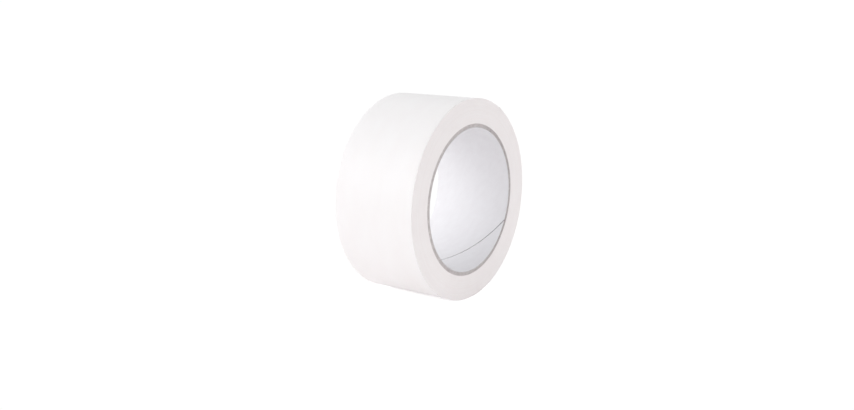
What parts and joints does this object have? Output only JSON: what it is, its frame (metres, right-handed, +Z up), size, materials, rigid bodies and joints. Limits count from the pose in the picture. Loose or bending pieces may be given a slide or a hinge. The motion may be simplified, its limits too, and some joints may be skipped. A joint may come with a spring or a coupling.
{
  "type": "roll of packing tape",
  "caption": "Roll of white packing tape wound on a spiral-wound board core with a paper liner, standing on its rim, with a free end that peels up.",
  "frame": {"origin": "centre of the roll, on its axis and half way across the tape", "axes": "+Y along the roll's axis, from the pictured side to the far side; +Z up as the roll stands on its rim; +X completes a right-handed frame"},
  "size_m": [0.1068, 0.048, 0.1068],
  "materials": {
    "liner_paper": "white kraft liner, matt",
    "core_board": "grey recycled board, matt",
    "tape_edge": "cut edges of the wound film",
    "tape_film": "white film, satin"
  },
  "bodies": {
    "roll": {"core_liner_ply": "liner_paper", "core_inner_ply": "core_board", "core_middle_ply": "core_board", "core_outer_ply": "core_board", "wound_tape": "tape_edge", "outer_turn": "tape_film"},
    "tape_end": {"tape_end": "tape_film"}
  },
  "joints": [
    {"name": "tape_end_peel", "type": "hinge", "parent": "roll", "child": "tape_end", "pos_m": [0.04725, 0, 0.02495], "axis": [0, 1, 0], "range_deg": [0, 120]}
  ]
}
